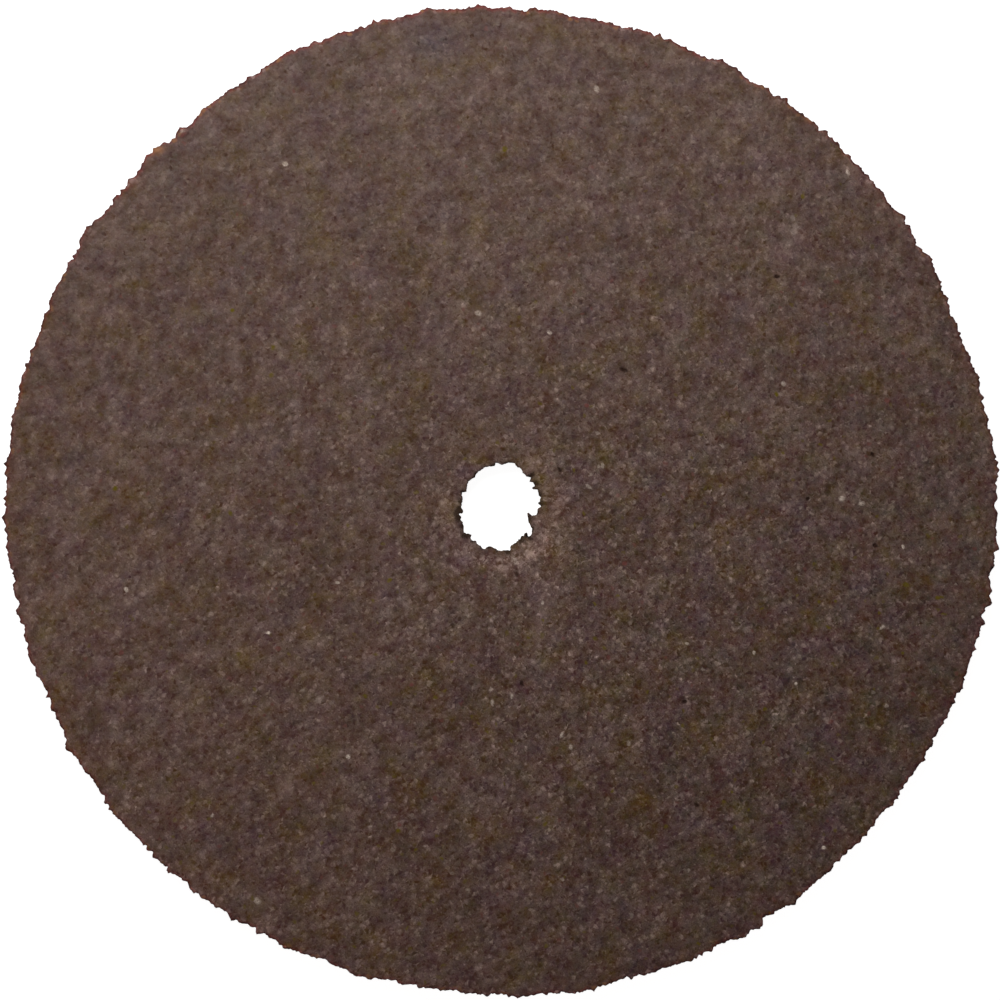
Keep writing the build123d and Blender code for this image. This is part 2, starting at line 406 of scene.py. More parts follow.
pits = [
    (3.01, 3.32, 0.109, 0.053, -19, 0.98), (6.72, 5.58, 0.080, 0.051, 6, 1.00),
    (9.11, -0.95, 0.066, 0.051, -15, 1.00), (7.48, 0.19, 0.058, 0.051, 45, 1.00),
    (0.41, -1.61, 0.104, 0.070, -84, 1.00), (9.06, 1.26, 0.068, 0.041, -61, 1.00),
    (0.53, -4.31, 0.075, 0.046, 88, 1.00), (1.45, 0.89, 0.083, 0.039, -52, 1.00),
    (4.49, -4.74, 0.066, 0.056, -1, 1.00), (4.78, -7.25, 0.078, 0.046, -38, 1.00),
]
flakes = [
    (7.17, 6.72, 0.160, 0.075, 78, 0.62), (7.03, 6.38, 0.130, 0.060, 40, 0.50), (7.12, 7.00, 0.070, 0.060, 90, 0.80),
    (-7.24, 0.53, 0.085, 0.055, -10, 0.55), (-4.39, -4.69, 0.120, 0.080, 35, 0.60), (-4.08, -4.77, 0.090, 0.050, 40, 0.50),
    (-4.57, -4.91, 0.110, 0.060, 10, 0.35), (-10.00, 0.76, 0.070, 0.060, 0, 0.45), (-10.20, 0.56, 0.060, 0.040, 0, 0.40),
    (-8.83, -2.28, 0.080, 0.045, 100, 0.50),
]


def clusters(kinds):
    """Points for the single grains: a middle and two rings each, with a strength that falls to 0 at the outer ring."""
    r = np.random.default_rng(55)
    made, strengths = [], []
    for kind, table in enumerate(kinds):
        for x, y, length, width, heading, strength in table:
            c, s = math.cos(math.radians(heading)), math.sin(math.radians(heading))
            for out, count, share in ((0.0, 1, 1.0), (0.66, 6, 0.95), (1.3, 9, 0.0)):
                for i in range(count):
                    a = (i + r.uniform(-0.25, 0.25)) * 2 * math.pi / count
                    grow = out * r.uniform(0.88, 1.12)
                    u, v = length * grow * math.cos(a), width * grow * math.sin(a)
                    made.append((x + u * c - v * s, y + u * s + v * c))
                    row = [0.0] * len(kinds)
                    row[kind] = strength * share
                    strengths.append(row)
    return np.array(made), np.array(strengths)


def clear_of(points, kinds):
    """Which points are outside every single grain."""
    clear = np.ones(len(points), bool)
    for x, y, length, width, heading, strength in sum(kinds, []):
        c, s = math.cos(math.radians(heading)), math.sin(math.radians(heading))
        dx, dy = points[:, 0] - x, points[:, 1] - y
        clear &= np.hypot((dx * c + dy * s) / (length * 1.3 + 0.03), (dy * c - dx * s) / (width * 1.3 + 0.03)) > 1
    return clear


def face_points(pitch, seed, rim_keep, bore_keep, mouth_pitch=None):
    points = lattice(pitch, 12.6, seed)
    if mouth_pitch:
        radius = np.hypot(*(points - np.array(BORE_CENTRE)).T)
        points = points[radius > MOUTH_RADIUS]
        inner = lattice(mouth_pitch, MOUTH_RADIUS + 0.2, seed + 1)
        radius = np.hypot(*(inner - np.array(BORE_CENTRE)).T)
        # the finer grid opens out gradually into the coarse one
        keep = radius < MOUTH_RADIUS - 0.03
        thin = np.random.default_rng(seed + 2).random(len(inner))
        keep &= thin > np.clip((radius - 1.45) / 0.45, 0, 1) * 0.62
        points = np.concatenate([points, inner[keep]])
    return points[(rim_gap(points) > rim_keep) & (bore_gap(points)[0] > bore_keep)]


def face_mesh(outer, inner, points):
    """Triangles over the ring between two closed outlines. Returns indices into outer, inner, then points."""
    n, m = len(outer), len(inner)
    everything = np.concatenate([outer, inner, points])
    edges = [(i, (i + 1) % n) for i in range(n)]
    edges += [(n + i, n + (i + 1) % m) for i in range(m)]
    _, _, faces, originals, _, _ = delaunay_2d_cdt(
        [Vector(p) for p in everything.tolist()], edges, [], 0, 1e-7, True
    )
    back = np.array([o[0] for o in originals])
    tris = np.array([[back[i] for i in f] for f in faces if len(f) == 3])
    a, b, c = (everything[tris[:, i]] for i in range(3))
    middle = (a + b + c) / 3
    area = (b[:, 0] - a[:, 0]) * (c[:, 1] - a[:, 1]) - (b[:, 1] - a[:, 1]) * (c[:, 0] - a[:, 0])
    tris[area < 0] = tris[area < 0][:, ::-1]
    rim_side = np.hypot(*(middle - np.array(RIM_CENTRE)).T) < 11.5
    rim_side[~rim_side] = inside(middle[~rim_side], outer)
    return tris[rim_side & ~inside(middle, inner) & (np.abs(area) > 1e-9)]


kinds = [pale_grains, yellow_grains, red_grains, pits, flakes]
top_points = face_points(TOP_PITCH, 101, 0.07, 0.065, MOUTH_PITCH)
top_points = top_points[clear_of(top_points, kinds)]
grain_points, grain_strengths = clusters(kinds)
keep = (bore_gap(grain_points)[0] > 0.03) & (rim_gap(grain_points) > 0.03)
grain_points, grain_strengths = grain_points[keep], grain_strengths[keep]
n_loose = len(top_points)
top_points = np.concatenate([top_points, grain_points])
under_points = face_points(UNDER_PITCH, 201, 0.12, 0.11)
under_points = under_points[~inside(under_points, bore_wall[:, -1, :2] + 0.04 * outwards)]
top_tris = face_mesh(rim_wall[:, 0, :2], bore_wall[:, 0, :2], top_points)
under_tris = face_mesh(rim_wall[:, -1, :2], bore_wall[:, -1, :2], under_points)


def grain_heights(xy, seed, rough=1.0):
    """Relief of a pressed face of grain, about 0 on average."""
    r = np.random.default_rng(seed)
    n = len(xy)
    x, y = xy[:, 0], xy[:, 1]
    h = 0.0062 * r.standard_normal(n)
    h += np.where(r.random(n) < 0.05, -0.016, 0)  # a grain pulled out
    h += np.where(r.random(n) < 0.05, 0.009, 0)  # a grain standing proud
    h *= rough
    h += 0.0042 * lattice_noise(x, y, 0.24, seed + 1, 0.4)
    h += 0.0048 * lattice_noise(x, y, 0.6, seed + 2, 1.1)
    h += 0.0055 * lattice_noise(x, y, 1.7, seed + 3, 2.0)
    h += 0.006 * lattice_noise(x, y, 5.0, seed + 4, 0.7)
    return h


gap, bearing = bore_gap(top_points)
rough = np.where(np.arange(len(top_points)) < n_loose, 1.0, 0.35)
top_z = THICK + grain_heights(top_points, 301, rough) - mouth_depth(gap, bearing)
top_z[n_loose:] += grain_strengths @ np.array([0.012, 0.008, 0.006, -0.020, 0.004])
top_z = np.minimum(top_z, THICK + 0.022)
edge = rim_gap(top_points)
top_z -= np.interp(edge, [0, 0.16, 0.4], [0.008, 0.003, 0])
under_z = 0.013 + grain_heights(under_points, 401) * 0.75
under_z = np.clip(under_z, 0.0, np.interp(rim_gap(under_points), [0.12, 0.40], [0.018, 0.2]))

# ---------------------------------------------------------------------------------------
# One closed mesh
# ---------------------------------------------------------------------------------------
n_rim, n_bore = RIM_COLUMNS * RIM_ROWS, BORE_COLUMNS * BORE_ROWS
rim_index = np.arange(n_rim).reshape(RIM_COLUMNS, RIM_ROWS)
bore_index = n_rim + np.arange(n_bore).reshape(BORE_COLUMNS, BORE_ROWS)
top_index = n_rim + n_bore + np.arange(len(top_points))
under_index = top_index[-1] + 1 + np.arange(len(under_points))
points = np.concatenate(
    [
        rim_wall.reshape(-1, 3),
        bore_wall.reshape(-1, 3),
        np.column_stack([top_points, top_z]),
        np.column_stack([under_points, under_z]),
    ]
)


def wall_tris(index, outward):
    """Two triangles to each cell of a wall, with the diagonal turned at random."""
    a = index
    b = np.roll(index, -1, 0)
    p, q, r, s = a[:, :-1], b[:, :-1], b[:, 1:], a[:, 1:]
    flip = np.random.default_rng(len(index)).random(p.shape) < 0.5
    one = np.where(flip[..., None], np.stack([p, s, q], -1), np.stack([p, r, q], -1))
    two = np.where(flip[..., None], np.stack([q, s, r], -1), np.stack([p, s, r], -1))
    tris = np.concatenate([one.reshape(-1, 3), two.reshape(-1, 3)])
    column = np.repeat(np.arange(len(index)), index.shape[1] - 1)
    column = np.concatenate([column, column])
    return (tris if outward else tris[:, ::-1]), column


rim_tris, rim_column = wall_tris(rim_index, True)
bore_tris, bore_column = wall_tris(bore_index, False)

# under the thin crumbs the hole's wall folds: there it is eased until nothing crosses
folds = sum(np.roll(fragile, i) for i in range(-3, 4)) > 0
folded = bore_tris[folds[bore_column]]
wall = points[bore_index]
for passes in range(200):
    points[bore_index] = wall
    tree = BVHTree.FromPolygons(points.tolist(), folded.tolist(), all_triangles=True)
    crossed = [pair for pair in tree.overlap(tree) if not set(folded[pair[0]]) & set(folded[pair[1]])]
    if not crossed:
        break
    tight = np.isin(bore_index, folded[np.unique(crossed)])
    tight |= np.roll(tight, 1, 0) | np.roll(tight, -1, 0)
    tight[:, [0, 1, -1]] = False
    around = np.roll(wall, 1, 0) + np.roll(wall, -1, 0) + np.roll(wall, 1, 1) + np.roll(wall, -1, 1)
    wall = np.where(tight[..., None], 0.5 * wall + 0.125 * around, wall)
print("wall eased", passes, "times,", len(crossed), "crossings left")
top_map = np.concatenate([rim_index[:, 0], bore_index[:, 0], top_index])
under_map = np.concatenate([rim_index[:, -1], bore_index[:, -1], under_index])
top_tris = top_map[top_tris]
under_tris = under_map[under_tris][:, ::-1]
tris = np.concatenate([rim_tris, bore_tris, top_tris, under_tris])
print("triangles", len(tris), "top", len(top_tris), "under", len(under_tris), "rim", len(rim_tris), "bore", len(bore_tris))

mesh = bpy.data.meshes.new("cutoff_disc")
mesh.vertices.add(len(points))
mesh.vertices.foreach_set("co", (points * MM).ravel())
mesh.loops.add(len(tris) * 3)
mesh.loops.foreach_set("vertex_index", tris.ravel().astype(np.int32))
mesh.polygons.add(len(tris))
mesh.polygons.foreach_set("loop_start", np.arange(0, len(tris) * 3, 3, dtype=np.int32))
mesh.polygons.foreach_set("use_smooth", np.ones(len(tris), bool))
mesh.update(calc_edges=True)
mesh.validate()

# ---------------------------------------------------------------------------------------
# What the finish needs to know about each point
# ---------------------------------------------------------------------------------------
xy = points[:, :2]
upper = points[:, 2] > 0.3
rim_distance = np.maximum(rim_gap(xy), 0.0)
bore_distance, bore_bearing = bore_gap(xy)

# paler, bruised ground round the mouth, with painted light on top of it: strongest towards the lower right, where the
# dip of the worn mouth faces the lamp
pale_wear_and_painted_light_side = at(bore_bearing, [
    (0, 0.56), (30, 0.36), (60, 0.36), (90, 0.18), (120, 0.18), (150, 0.32), (180, 0.54),
    (210, 0.62), (240, 0.58), (270, 0.86), (300, 1.30), (330, 1.05), (345, 0.85),
])
bruise = pale_wear_and_painted_light_side * np.interp(
    bore_distance, [0.0, 0.06, 0.2, 0.4, 0.48, 0.56, 0.66, 0.85, 1.05, 1.4], [0.0, 0.28, 0.85, 1.0, 0.95, 0.48, 0.18, 0.28, 0.14, 0.0]
)
bruise = np.where(upper, bruise, 0.15 * bruise)
# painted shade: on the face, darker in the crumbled sockets; and on the hole's wall
wall_painted_shade = 0.55 * np.interp(bore_distance, [0.0, 0.06, 0.22, 0.4], [1.0, 0.8, 0.3, 0.0])
soot = np.where(upper, crumbling(np.maximum(bore_distance, 0), bore_bearing), wall_painted_shade)

# soft pale scuffs: (x, y, length, width, bearing, strength), and a few cool, bluish patches
scuffs = [
    (1.05, -2.55, 0.75, 0.20, 80, 2.1), (7.09, 6.55, 0.50, 0.20, 74, 0.8), (6.65, 6.15, 0.55, 0.14, 28, 1.1),
    (-0.45, 4.65, 0.8, 0.14, 155, 1.9), (-10.45, -1.95, 0.35, 0.20, 0, 0.45), (-11.3, -2.4, 0.40, 0.15, 60, 0.5),
    (-8.9, -2.35, 0.50, 0.30, 60, 0.7), (-7.25, 0.56, 0.35, 0.14, -20, 0.9), (-9.95, 0.68, 0.35, 0.15, 0, 0.7),
    (-4.35, -4.70, 0.40, 0.15, 20, 0.5), (-5.15, -6.75, 0.35, 0.28, 60, 1.9), (-6.45, 3.9, 1.0, 0.18, 100, 1.3),
    (2.35, 10.1, 0.25, 0.16, 20, 0.9), (-5.7, -9.6, 0.5, 0.18, 10, 1.3), (-7.55, 8.6, 1.2, 0.5, 50, 0.35),
    (8.4, 8.1, 0.3, 0.16, 120, 0.55),
]
scuff = np.zeros(len(points))
for x, y, length, width, heading, strength in scuffs:
    c, s = math.cos(math.radians(heading)), math.sin(math.radians(heading))
    u, v = (xy[:, 0] - x) * c + (xy[:, 1] - y) * s, -(xy[:, 0] - x) * s + (xy[:, 1] - y) * c
    scuff += strength * np.exp(-((u / length) ** 2) * 2 - ((v / width) ** 2) * 2)
scuff = np.where(upper, scuff, 0.0)
cool = np.exp(-(((xy[:, 0] + 1.6) / 0.6) ** 2) - ((xy[:, 1] - 11.2) / 0.45) ** 2)
cool += 0.6 * np.exp(-(((xy[:, 0] - 10.9) / 0.5) ** 2) - ((xy[:, 1] - 0.3) / 0.6) ** 2)
# the grain shows most strongly towards the lower right, and least at the upper rim
bold = 0.93 + 0.036 * (xy[:, 0] * 0.36 - xy[:, 1] * 0.93)
bold += 0.26 * np.exp(-(((xy[:, 0] - 4.6) ** 2 + (xy[:, 1] + 3.8) ** 2) / 2 / 4.2**2))
u, v = xy[:, 0] / 12, xy[:, 1] / 12
olive = bold * np.exp(0.015 - 0.12 * u + 0.23 * v + 0.15 * v**2 - 0.21 * u * v)
rosy = bold * np.exp(-0.09 + 0.11 * u + 0.165 * v + 0.31 * u**2 + 0.10 * v**2 - 0.30 * u * v)
bold *= np.exp(0.16 + 0.09 * v - 0.19 * u**2 - 0.23 * v**2)
# broad light and shade painted into the colour: a little paler to the upper right and lower
# left, darkest at the lower right; and warmer downwards
broad = np.exp(-0.043 - 0.047 * u + 0.041 * v + 0.050 * u**2 + 0.020 * v**2 + 0.237 * u * v)
warm = -0.9 * v - 0.35 * u
middle = 1 - u**2 - 1.1 * v**2 - 0.9 * u * v
# how red the broken arris is, round the rim
rim_bearing = np.degrees(np.arctan2(xy[:, 1] - RIM_CENTRE[1], xy[:, 0] - RIM_CENTRE[0])) % 360
rim_red = at(rim_bearing, [
    (15, 0.28), (45, 0.45), (60, 0.7), (90, 1.0), (120, 0.85), (150, 0.58), (200, 0.52), (260, 0.62), (310, 0.58), (345, 0.4),
])

single = np.zeros((len(points), 5))
single[top_index[n_loose:]] = grain_strengths
# the largest grains of the broken rim, and patches of olive and mauve bond beside the hole:
# (x, y, length, width, heading, strength)


def patches(table):
    out = np.zeros(len(points))
    for x, y, length, width, heading, strength in table:
        c, s = math.cos(math.radians(heading)), math.sin(math.radians(heading))
        u, v = (xy[:, 0] - x) * c + (xy[:, 1] - y) * s, -(xy[:, 0] - x) * s + (xy[:, 1] - y) * c
        out = np.maximum(out, strength * np.exp(-((u / length) ** 2) - ((v / width) ** 2)))
    # on a wall they reach no deeper than a grain does
    return out * np.exp(-((np.maximum(THICK - 0.10 - points[:, 2], 0) / 0.10) ** 2))


orange_grain = patches([(-8.33, 8.66, 0.17, 0.08, 10, 1.0), (7.53, 9.42, 0.10, 0.08, 0, 0.9)])
single[:, 0] = np.maximum(single[:, 0], patches([(-7.70, 9.12, 0.06, 0.05, 0, 0.45)]))
single[:, 2] = np.maximum(single[:, 2], patches([(-8.95, 7.84, 0.11, 0.08, 45, 0.9), (-9.26, 7.53, 0.09, 0.07, 45, 0.7)]))
moss = patches([
    (-0.53, 1.10, 0.26, 0.09, -5, 1.0), (1.06, 0.67, 0.12, 0.12, 0, 0.9), (1.08, 0.10, 0.30, 0.11, 90, 0.9),
    (1.22, 0.42, 0.24, 0.12, 80, 0.5), (-0.41, -1.50, 0.12, 0.10, 0, 1.1), (-1.16, -0.28, 0.20, 0.12, 80, 0.6),
]) - patches([(-0.87, 0.81, 0.30, 0.22, 40, 0.7), (-1.0, -1.35, 0.35, 0.25, 0, 0.5)])

top_arris = np.zeros(len(points))
top_arris[top_index] = 1.0
top_arris[rim_index[:, 0]] = 1.0
top_arris[rim_index[:, 1]] = 0.3
rim_red = rim_red * (0.28 + 0.72 * top_arris)

for name, values in (
    ("pale_grain", single[:, 0]),
    ("yellow_grain", single[:, 1]),
    ("red_grain", single[:, 2]),
    ("pit", single[:, 3]),
    ("flake", single[:, 4]),
    ("orange_grain", orange_grain),
    ("moss", moss),
    ("rim_mm", rim_distance),
    ("bruise", bruise),
    ("soot", soot),
    ("scuff", scuff),
    ("cool", cool),
    ("bold", bold),
    ("broad", broad),
    ("warm", warm),
    ("middle", middle),
    ("top_arris", top_arris),
    ("rosy", rosy),
    ("olive", olive),
    ("rim_red", rim_red),
):
    attribute = mesh.attributes.new(name, "FLOAT", "POINT")
    attribute.data.foreach_set("value", values.astype(np.float32))

# ---------------------------------------------------------------------------------------
# Two layouts. OFBake is for maps of the surface: the upper face largest, the underside
# smaller, and the two walls as strips. grain_mm is the same surface at about its real size
# in millimetres, for the grain, with each part of it in a place of its own. The pressed
# grain leans along one diagonal of the faces, most towards their lower left, so they are
# laid along that diagonal and drawn out a little.
# ---------------------------------------------------------------------------------------
SCALE = 0.355 / 12.3  # of the map, to a millimetre
uv = np.zeros((len(tris), 3, 2))
real = np.zeros((len(tris), 3, 2))
n1, n2 = len(rim_tris), len(rim_tris) + len(bore_tris)
n3 = n2 + len(top_tris)
corner = points[tris]
uv[n2:n3] = 0.365 + corner[n2:n3, :, :2] * SCALE
uv[n3:, :, 0] = 0.788 - corner[n3:, :, 0] * SCALE * 0.57
uv[n3:, :, 1] = 0.788 + corner[n3:, :, 1] * SCALE * 0.57
along, across = (corner[n2:, :, 0] + corner[n2:, :, 1]) / math.sqrt(2), (corner[n2:, :, 1] - corner[n2:, :, 0]) / math.sqrt(2)
real[n2:, :, 0] = 0.935 * along + 0.0032 * along**2
real[n2:, :, 1] = across
real[n3:, :, 0] += 40


def strip(tri, column, index, girth, pieces, left, low, pitch):
    """Lays a wall out as upright strips, and once more as one long strip in millimetres."""
    columns, rows = index.shape
    first = index.min()
    col = (tri - first) // rows
    row = (tri - first) % rows
    col = np.where((col == 0) & (column[:, None] == columns - 1), columns, col)
    part = column * pieces // columns
    start = -(-part * columns // pieces)
    along = (col - start[:, None]) * girth / columns * SCALE
    across = row / (rows - 1) * 0.72 * SCALE
    flat = np.stack([left + part[:, None] * pitch + across, low + along], -1)
    return flat, np.stack([col * girth / columns, row / (rows - 1) * 0.72], -1)


uv[:n1], real[:n1] = strip(rim_tris, rim_column, rim_index, 75.6, 5, 0.75, 0.012, 0.029)
uv[n1:n2], real[n1:n2] = strip(bore_tris, bore_column, bore_index, 6.2, 1, 0.91, 0.012, 0.03)
real[:n1, :, 1] += 60
real[n1:n2, :, 1] += 66
for name, values in (("OFBake", uv), ("grain_mm", real)):
    layer = mesh.uv_layers.new(name=name)
    layer.data.foreach_set("uv", values.astype(np.float32).ravel())
mesh.uv_layers.active = mesh.uv_layers["OFBake"]
mesh.uv_layers["OFBake"].active_render = True

disc = bpy.data.objects.new("cutoff_disc", mesh)
bpy.context.scene.collection.objects.link(disc)


# ---------------------------------------------------------------------------------------
# Material
# ---------------------------------------------------------------------------------------
class Tree:
    """Short names for building a node tree."""

    def __init__(self, material):
        material.use_nodes = True
        self.tree = material.node_tree
        self.tree.nodes.clear()

    def new(self, kind, **settings):
        node = self.tree.nodes.new(kind)
        for key, value in settings.items():
            setattr(node, key, value)
        return node

    def put(self, value, socket):
        if isinstance(value, bpy.types.NodeSocket):
            self.tree.links.new(value, socket)
        else:
            socket.default_value = value

    def math(self, operation, a, b=None, c=None, clamp=False):
        node = self.new("ShaderNodeMath", operation=operation, use_clamp=clamp)
        self.put(a, node.inputs[0])
        if b is not None:
            self.put(b, node.inputs[1])
        if c is not None:
            self.put(c, node.inputs[2])
        return node.outputs[0]

    def span(self, value, low, high, to_low=0.0, to_high=1.0, smooth=True):
        node = self.new("ShaderNodeMapRange", clamp=True)
        node.interpolation_type = "SMOOTHSTEP" if smooth else "LINEAR"
        for i, v in enumerate((value, low, high, to_low, to_high)):
            self.put(v, node.inputs[i])
        return node.outputs[0]

    def vector(self, operation, a, b=None, c=None, scale=None):
        node = self.new("ShaderNodeVectorMath", operation=operation)
        self.put(a, node.inputs[0])
        if scale is not None:
            self.put(scale, node.inputs["Scale"])
        if b is not None:
            self.put(b, node.inputs[1])
        if c is not None:
            self.put(c, node.inputs[2])
        return node.outputs[0]

    def turned(self, where, degrees, offset):
        node = self.new("ShaderNodeMapping", vector_type="POINT")
        self.put(where, node.inputs["Vector"])
        node.inputs["Location"].default_value = offset
        node.inputs["Rotation"].default_value = (0, 0, math.radians(degrees))
        return node.outputs[0]

    def noise(self, where, scale, detail=2.0, rough=0.5, offset=(0, 0, 0), turn=0):
        node = self.new("ShaderNodeTexNoise", noise_dimensions="2D")
        node.normalize = True
        self.put(self.turned(where, turn, offset), node.inputs["Vector"])
        node.inputs["Scale"].default_value = scale
        node.inputs["Detail"].default_value = detail
        node.inputs["Roughness"].default_value = rough
        return self.math("SUBTRACT", node.outputs["Fac"], 0.5)

    def colour_noise(self, where, scale, offset=(0, 0, 0)):
        """Independent noise along each axis, about 0."""
        node = self.new("ShaderNodeTexNoise", noise_dimensions="2D")
        node.normalize = True
        self.put(self.vector("ADD", where, offset), node.inputs["Vector"])
        node.inputs["Scale"].default_value = scale
        node.inputs["Detail"].default_value = 1.0
        node.inputs["Roughness"].default_value = 0.55
        return self.vector("SUBTRACT", node.outputs["Color"], (0.5, 0.5, 0.5))

    def cells(self, where, scale, offset=(0, 0, 0)):
        """Distance from the nearest of many scattered points, and three random numbers for each."""
        node = self.new("ShaderNodeTexVoronoi", voronoi_dimensions="2D", feature="F1")
        self.put(self.vector("ADD", where, offset), node.inputs["Vector"])
        node.inputs["Scale"].default_value = scale
        chance = self.new("ShaderNodeSeparateColor")
        self.put(node.outputs["Color"], chance.inputs[0])
        return node.outputs["Distance"], chance.outputs

    def tails(self, chance, plain, cubed):
        """Spreads a random number about 0, most of them near it and a few far off."""
        x = self.math("MULTIPLY_ADD", chance, 2.0, -1.0)
        wide = self.math("MULTIPLY_ADD", self.math("MULTIPLY", x, x), cubed, plain)
        return self.math("MULTIPLY", x, wide)

    def mix(self, share, a, b):
        node = self.new("ShaderNodeMix", data_type="RGBA", blend_type="MIX")
        self.put(share, node.inputs[0])
        self.put(a, node.inputs[6])
        self.put(b, node.inputs[7])
        return node.outputs[2]

    def attribute(self, name):
        return self.new("ShaderNodeAttribute", attribute_name=name).outputs["Fac"]


def rgb(r, g, b):
    return (r, g, b, 1.0)


def bonded_grain():
    material = bpy.data.materials.new("bonded_grain")
    t = Tree(material)
    mm = t.new("ShaderNodeUVMap", uv_map="grain_mm").outputs[0]

    # the finest grain leans less than the rest
    even = t.vector("MULTIPLY", mm, (1.11, 1.0, 1.0))
    dust = t.noise(even, 30.0, 1.0, 0.6, (0, 4, 0), 20)
    clumps = t.noise(t.vector("MULTIPLY", mm, (0.88, 1.0, 1.0)), 2.8, 3.0, 0.62, (12, 3, 0), 38)
    drift = t.noise(mm, 0.62, 1.0, 0.75, (5, 23, 0), 64)
    # no two grains have the same outline
    crooked = t.vector("MULTIPLY_ADD", t.colour_noise(mm, 6.4, (3, 19, 0)), (0.11, 0.11, 0), even)
    crooked = t.vector("MULTIPLY_ADD", t.colour_noise(mm, 21.0, (8, 5, 0)), (0.050, 0.050, 0), crooked)
    grain, grain_chance = t.cells(crooked, 7.4)
    small, small_chance = t.cells(crooked, 14.5, (5.5, 2.2, 0))
    speck, speck_chance = t.cells(crooked, 3.4, (2.5, 6.5, 0))

    # how much lighter or darker each spot is: soft dots of grain in the bond
    bold = t.attribute("bold")
    light = t.math("MULTIPLY", t.tails(grain_chance[0], 0.26, 0.62), t.span(grain, 0.1, 0.70, 1.0, 0.0))
    dots = t.math("MULTIPLY", t.tails(small_chance[0], 0.24, 0.62), t.span(small, 0.1, 0.66, 1.0, 0.0))
    light = t.math("ADD", light, dots)
    light = t.math("MULTIPLY_ADD", dust, 1.24, light)
    light = t.math("MULTIPLY_ADD", t.span(grain, 0.5, 0.75), -0.16, light)
    light = t.math("MULTIPLY", light, bold)
    light = t.math("MULTIPLY_ADD", clumps, 1.97, light)
    light = t.math("MULTIPLY_ADD", drift, 0.62, light)
    light = t.math("MULTIPLY_ADD", t.math("MULTIPLY", light, light), 0.32, light)
    # pin-pricks, and glints painted into the colour as tiny highlights
    pit = t.math("MULTIPLY", t.span(small, 0.05, 0.40, 1.0, 0.0), t.math("LESS_THAN", small_chance[2], 0.055))
    light = t.math("MULTIPLY_ADD", pit, t.math("MULTIPLY", bold, -0.64), light)
    glint = t.math("MULTIPLY", t.span(small, 0.05, 0.40, 1.0, 0.0), t.math("GREATER_THAN", small_chance[2], 0.972))
    light = t.math("MULTIPLY_ADD", glint, t.math("MULTIPLY", bold, 0.54), light)
    light = t.math("MULTIPLY_ADD", t.attribute("scuff"), 0.40, light)
    dark = t.math("MULTIPLY", t.span(speck, 0.06, 0.20, 1.0, 0.0), t.math("LESS_THAN", speck_chance[0], 0.16))
    light = t.math("MULTIPLY_ADD", dark, -0.52, light)
    light = t.math("MAXIMUM", light, -0.74)

    # resin and grain between mauve and olive, and between red brown and grey brown
    yellow = t.noise(mm, 1.05, 6.0, 0.74, (31, 17, 0), 25)
    yellow = t.math("MULTIPLY_ADD", t.math("MAXIMUM", t.math("SUBTRACT", yellow, 0.07), 0.0), 1.0, yellow)
    yellow = t.math("MULTIPLY", yellow, t.attribute("olive"))
    red = t.math("MULTIPLY", t.noise(mm, 1.5, 4.0, 0.72, (9, 41, 0), 50), t.attribute("rosy"))
    tone = t.vector("MULTIPLY_ADD", light, (0.735, 1.0, 1.17), (1.0, 1.0, 1.0))
    tone = t.vector("MULTIPLY_ADD", yellow, (0.165, 0.225, -1.30), tone)
    tone = t.vector("MULTIPLY_ADD", red, (0.31, -0.26, -0.10), tone)
    # and each grain has a hue of its own
    tint = t.math("MULTIPLY", t.math("SUBTRACT", grain_chance[1], 0.5), t.span(grain, 0.1, 0.70, 1.0, 0.0))
    tint = t.math("MULTIPLY", tint, t.attribute("olive"))
    tone = t.vector("MULTIPLY_ADD", tint, (-0.02, 0.02, -0.21), tone)
    tint = t.math("MULTIPLY", t.math("SUBTRACT", small_chance[1], 0.5), t.span(small, 0.1, 0.66, 1.0, 0.0))
    tint = t.math("MULTIPLY", tint, t.attribute("rosy"))
    tone = t.vector("MULTIPLY_ADD", tint, (0.065, -0.035, 0.02), tone)
    tone = t.vector("MULTIPLY_ADD", t.attribute("middle"), (0.0, -0.006, -0.028), tone)
    tone = t.vector("MULTIPLY_ADD", t.attribute("cool"), (-0.10, 0.02, 0.24), tone)
    tone = t.vector("MULTIPLY_ADD", t.attribute("moss"), (0.02, 0.10, -0.46), tone)
    tone = t.vector("MULTIPLY_ADD", t.attribute("warm"), (0.034, -0.004, -0.022), tone)
    colour = t.vector("MULTIPLY", tone, (0.0906, 0.0512, 0.0380))
    # broad light and shade painted into the colour
    colour = t.vector("SCALE", colour, scale=t.attribute("broad"))

    # soft pale flakes, and a few near-white, yellow and red grains, scattered and in their places
    uneven = t.noise(even, 13.0, 2.0, 0.6, (14, 2, 0), 15)
    uneven = t.math("MAXIMUM", t.math("MULTIPLY_ADD", uneven, 2.0, t.math("MULTIPLY_ADD", dust, 0.9, 1.0)), 0.0)

    def in_place(name):
        return t.math("MINIMUM", t.math("MULTIPLY", t.attribute(name), uneven), 1.0)

